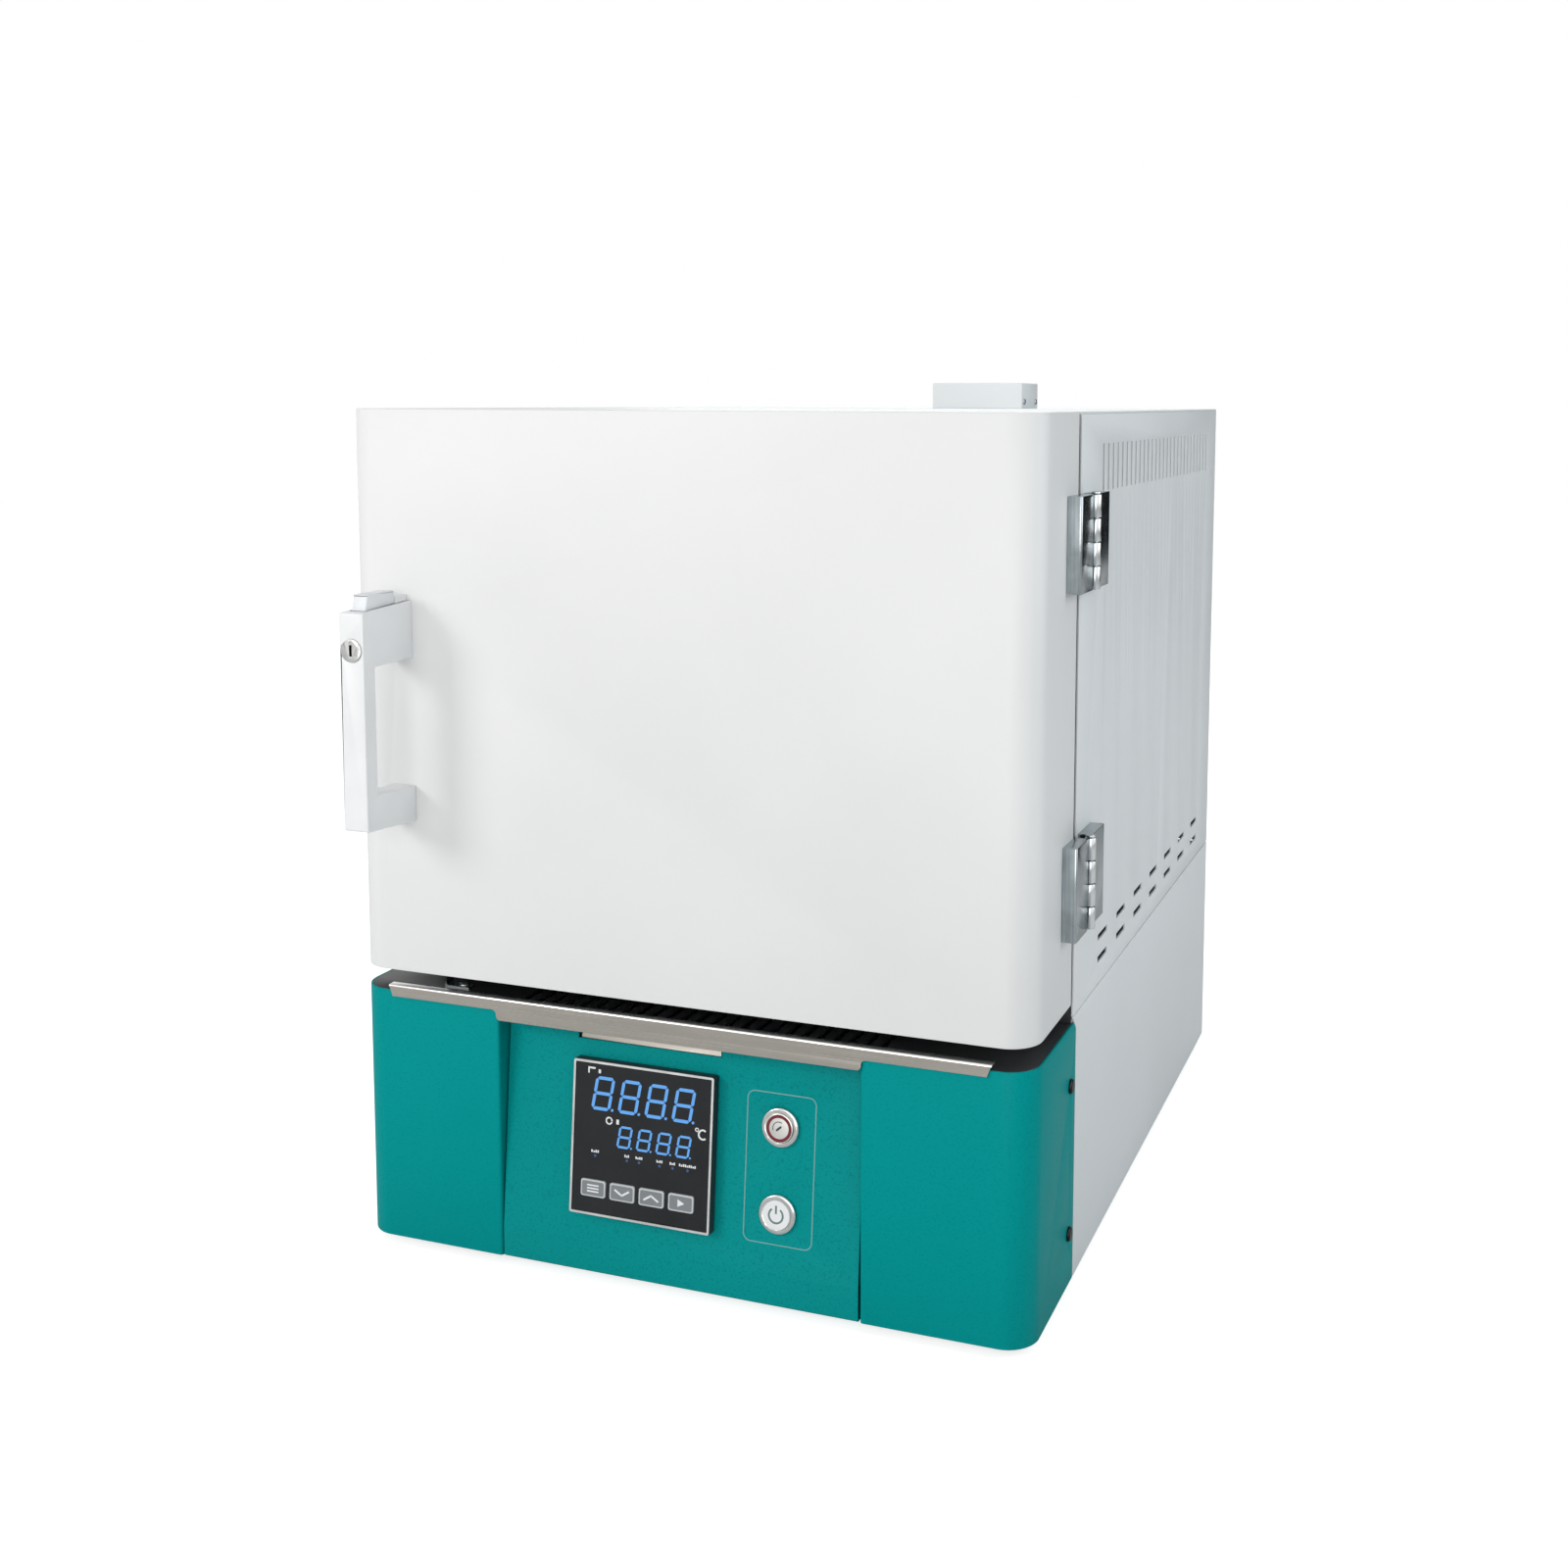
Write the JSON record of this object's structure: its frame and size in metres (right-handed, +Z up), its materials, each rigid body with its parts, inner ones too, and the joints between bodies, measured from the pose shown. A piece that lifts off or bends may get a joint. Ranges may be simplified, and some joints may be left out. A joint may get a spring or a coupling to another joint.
{
  "type": "muffle furnace",
  "caption": "Bench-top muffle furnace: ceramic chamber in a louvred casing, side-hung insulated door with latch handle, and a sloping control panel in the base.",
  "frame": {"origin": "centre of the bounding box in plan, on the table under the rubber feet", "axes": "+X to the right seen from the front, +Y from the door towards the rear, +Z up"},
  "size_m": [0.4646, 0.631, 0.562],
  "materials": {
    "door_white": "satin",
    "casing_grey": "satin",
    "teal_wing": "satin",
    "teal_panel": "satin",
    "stainless": "polished",
    "zinc_plate": "satin",
    "galvanised": "matte",
    "deck_black": "matte",
    "black_screw": "satin",
    "chrome": "polished",
    "handle_grey": "satin",
    "thumb_grey": "satin",
    "rubber": "matte",
    "aluminium": "satin",
    "relay_plastic": "matte",
    "terminal_plastic": "matte",
    "gland_plastic": "matte",
    "controller_plastic": "satin",
    "controller_glass": "gloss",
    "key_grey": "satin",
    "cap_white": "gloss",
    "cap_silver": "satin",
    "chamber_ceramic": "matte",
    "hearth_ceramic": "matte",
    "fibre": "matte",
    "seal_rope": "matte",
    "element_alloy": "matte"
  },
  "bodies": {
    "furnace": {"hinge_casing_leaves": "zinc_plate", "hinge_pins": "zinc_plate", "latch_keeper": "zinc_plate", "base_pan": "galvanised", "rubber_feet": "rubber", "base_right_panel": "casing_grey", "base_left_panel": "casing_grey", "base_rear_panel": "casing_grey", "fascia_right_wing": "teal_wing", "fascia_left_wing": "teal_wing", "fascia_screws": "black_screw", "control_panel": "teal_panel", "stainless_trim": "stainless", "base_deck": "deck_black", "relay_heat_sink": "aluminium", "solid_state_relay": "relay_plastic", "terminal_block": "terminal_plastic", "cable_gland": "gland_plastic", "controller_case": "controller_plastic", "controller_window": "controller_glass", "controller_backplate": "stainless", "button_housings": "chrome", "button_nuts": "zinc_plate", "casing_floor": "galvanised", "casing_right_panel": "casing_grey", "casing_left_panel": "casing_grey", "casing_roof": "casing_grey", "casing_rear_panel": "casing_grey", "casing_front_frame": "deck_black", "inner_jacket": "galvanised", "insulation_sleeve": "fibre", "insulation_rear": "fibre", "muffle_floor": "chamber_ceramic", "muffle_roof": "chamber_ceramic", "muffle_right_wall": "chamber_ceramic", "muffle_left_wall": "chamber_ceramic", "muffle_rear_wall": "chamber_ceramic", "heating_elements": "element_alloy", "hearth_plate": "hearth_ceramic", "thermocouple_sheath": "hearth_ceramic", "thermocouple_head": "hearth_ceramic", "flue_duct": "galvanised", "chimney_cover": "casing_grey"},
    "door": {"door_shell": "door_white", "door_inner_plate": "galvanised", "door_insulation": "fibre", "door_plug": "chamber_ceramic", "door_seal": "seal_rope", "hinge_door_leaves": "zinc_plate", "handle_body": "handle_grey"},
    "thumb_button": {"thumb_button": "thumb_grey"},
    "latch_bar": {"latch_bar": "zinc_plate"},
    "lock_barrel": {"key_cylinder": "chrome"},
    "power_cap": {"power_button_cap": "cap_white"},
    "start_cap": {"start_button_cap": "cap_silver"},
    "set_key_cap": {"set_key": "key_grey"},
    "down_key_cap": {"down_key": "key_grey"},
    "up_key_cap": {"up_key": "key_grey"},
    "run_key_cap": {"run_key": "key_grey"}
  },
  "joints": [
    {"name": "door_swing", "type": "hinge", "parent": "furnace", "child": "door", "pos_m": [0.2289, -0.1735, 0.3625], "axis": [0, 0, 1], "range_deg": [0, 160]},
    {"name": "thumb_press", "type": "slide", "parent": "door", "child": "thumb_button", "axis": [0, 0, -1], "range_m": [0, 0.005], "stiffness_N_per_m": 500, "springref_m": -0.004},
    {"name": "latch_drop", "type": "slide", "parent": "door", "child": "latch_bar", "axis": [0, 0, -1], "range_m": [0, 0.005]},
    {"name": "lock_turn", "type": "hinge", "parent": "door", "child": "lock_barrel", "pos_m": [-0.1914, -0.3145, 0.3968], "axis": [0, -1, 0], "range_deg": [0, 90]},
    {"name": "power_press", "type": "slide", "parent": "furnace", "child": "power_cap", "axis": [0, 0.9954, -0.0958], "range_m": [0, 0.002], "stiffness_N_per_m": 900, "springref_m": -0.001},
    {"name": "start_press", "type": "slide", "parent": "furnace", "child": "start_cap", "axis": [0, 0.9954, -0.0958], "range_m": [0, 0.002], "stiffness_N_per_m": 900, "springref_m": -0.001},
    {"name": "set_key_press", "type": "slide", "parent": "furnace", "child": "set_key_cap", "axis": [0, 0.9954, -0.0958], "range_m": [0, 0.0005], "stiffness_N_per_m": 1500, "springref_m": -0.00025},
    {"name": "down_key_press", "type": "slide", "parent": "furnace", "child": "down_key_cap", "axis": [0, 0.9954, -0.0958], "range_m": [0, 0.0005], "stiffness_N_per_m": 1500, "springref_m": -0.00025},
    {"name": "up_key_press", "type": "slide", "parent": "furnace", "child": "up_key_cap", "axis": [0, 0.9954, -0.0958], "range_m": [0, 0.0005], "stiffness_N_per_m": 1500, "springref_m": -0.00025},
    {"name": "run_key_press", "type": "slide", "parent": "furnace", "child": "run_key_cap", "axis": [0, 0.9954, -0.0958], "range_m": [0, 0.0005], "stiffness_N_per_m": 1500, "springref_m": -0.00025}
  ],
  "couplings": [
    {"joint": "latch_drop", "follows": "thumb_press", "ratio": 1}
  ]
}
